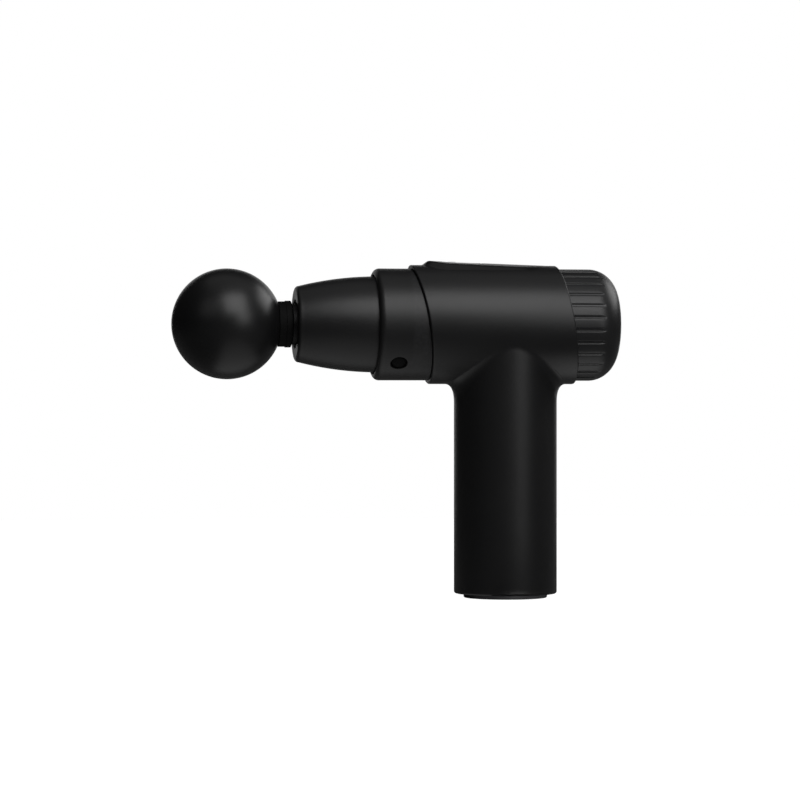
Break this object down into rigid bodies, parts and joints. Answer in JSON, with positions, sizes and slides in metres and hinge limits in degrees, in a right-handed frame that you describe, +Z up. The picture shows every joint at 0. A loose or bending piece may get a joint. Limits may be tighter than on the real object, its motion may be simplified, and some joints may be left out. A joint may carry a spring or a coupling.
{
  "type": "massage gun",
  "caption": "Handheld percussion massage gun: ball head on a short neck, stepped barrel with a rear speed dial, and an upright round handle that also serves as its foot.",
  "frame": {"origin": "centre of the base cap's flat underside, on which the gun stands", "axes": "+Z up the handle; the barrel lies along X at a height of 120 mm, with the massage head towards -X and the speed dial towards +X; the housing's left half is at -Y"},
  "size_m": [0.1963, 0.0522, 0.148],
  "materials": {
    "shell": "satin",
    "nose": "satin",
    "dial": "satin",
    "panel": "satin",
    "lens": "gloss",
    "button": "satin",
    "cap": "satin",
    "ball": "satin",
    "rubber": "matte",
    "nylon": "satin",
    "acetal": "satin",
    "aluminium": "satin",
    "piston": "satin",
    "steel": "satin",
    "magnet": "satin",
    "winding": "satin",
    "board": "satin",
    "cell": "satin",
    "lead": "satin"
  },
  "bodies": {
    "housing": {"nose_cone": "nose", "wiper_seal": "rubber", "nose_collar": "nose", "charging_jack": "nylon", "guide_sleeve": "nylon", "guide_bush_front": "acetal", "guide_bush_rear": "acetal", "guide_screw_1": "steel", "guide_screw_2": "steel", "guide_screw_3": "steel", "housing_left": "shell", "housing_right": "shell", "base_cap": "cap", "base_screw_1": "steel", "base_screw_2": "steel", "control_panel": "panel", "panel_lens": "lens", "panel_board": "board", "button_switch": "nylon", "rear_bulkhead": "aluminium", "dial_encoder": "nylon", "stator": "winding", "motor_plate": "aluminium", "motor_mount_1": "rubber", "motor_mount_2": "rubber", "motor_screw_1": "steel", "motor_screw_2": "steel", "motor_bearing_front": "steel", "motor_bearing_rear": "steel", "battery_cell_1": "cell", "battery_cell_2": "cell", "battery_cell_3": "cell", "cell_holder_lower": "nylon", "cell_holder_upper": "nylon", "protection_board": "board", "main_board": "board", "battery_lead": "lead", "motor_lead": "lead", "panel_lead": "lead"},
    "piston": {"piston_rod": "piston", "wrist_pin": "steel"},
    "head": {"head_ball": "ball", "head_stem": "rubber", "stem_ring_front": "rubber", "stem_ring_rear": "rubber"},
    "rod": {"connecting_rod": "aluminium", "big_end_bearing": "steel"},
    "crank": {"crank_wheel": "steel", "crank_pin": "steel", "motor_shaft": "steel", "rotor_bell": "steel", "rotor_magnets": "magnet"},
    "dial": {"speed_dial": "dial", "dial_spindle": "steel"},
    "button": {"power_button": "button"},
    "plug": {"port_plug": "rubber"}
  },
  "joints": [
    {"name": "piston_stroke", "type": "slide", "parent": "housing", "child": "piston", "axis": [-1, 0, 0], "range_m": [-0.0013, 0.0087]},
    {"name": "head_pull", "type": "slide", "parent": "piston", "child": "head", "axis": [-1, 0, 0], "range_m": [0, 0.022]},
    {"name": "rod_rock", "type": "hinge", "parent": "piston", "child": "rod", "pos_m": [-0.03232, 0, 0.12], "axis": [0, 0, 1], "range_deg": [-13.6, 2.2]},
    {"name": "crank_spin", "type": "hinge", "parent": "housing", "child": "crank", "pos_m": [0, 0, 0.12], "axis": [0, 0, 1], "continuous": true},
    {"name": "dial_turn", "type": "hinge", "parent": "housing", "child": "dial", "pos_m": [0.035, 0, 0.12], "axis": [1, 0, 0], "range_deg": [0, 270]},
    {"name": "button_press", "type": "slide", "parent": "housing", "child": "button", "axis": [0, 0, -1], "range_m": [0, 0.0008], "stiffness_N_per_m": 800, "springref_m": -0.001},
    {"name": "plug_pull", "type": "slide", "parent": "housing", "child": "plug", "axis": [0, -0.7071, -0.7071], "range_m": [0, 0.012]}
  ]
}
